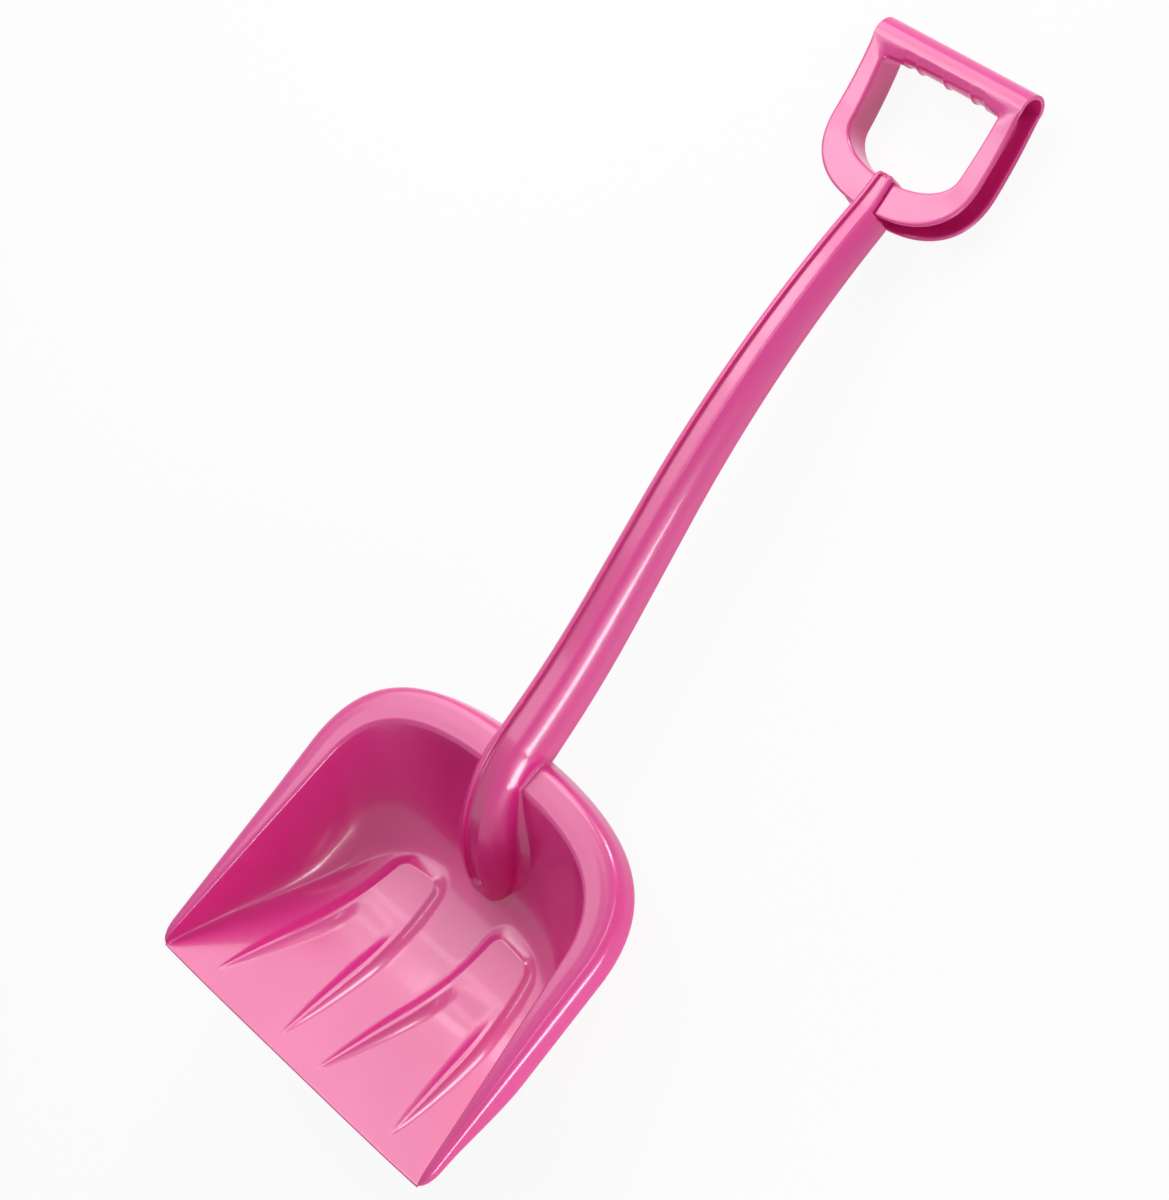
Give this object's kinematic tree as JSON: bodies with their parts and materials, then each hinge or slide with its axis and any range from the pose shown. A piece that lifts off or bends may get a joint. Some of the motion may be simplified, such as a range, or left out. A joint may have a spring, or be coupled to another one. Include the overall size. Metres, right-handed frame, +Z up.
{
  "type": "kids snow shovel",
  "caption": "Child-size moulded snow shovel: deep scoop with embossed floor ribs, curved open-backed channel shaft and D-shaped hand grip.",
  "frame": {"origin": "under the middle of the shovel as it lies on its back, on the ground plane", "axes": "+Y from the scoop to the D-handle, +X across the blade, +Z up"},
  "size_m": [0.2364, 0.63, 0.0832],
  "materials": {
    "scoop_pink": "satin gloss, injection-moulded polypropylene",
    "shaft_pink": "satin gloss, injection-moulded polypropylene",
    "d_handle_pink": "satin gloss, injection-moulded polypropylene"
  },
  "bodies": {
    "root": {"scoop": "scoop_pink", "shaft": "shaft_pink", "d_handle": "d_handle_pink"}
  },
  "joints": []
}
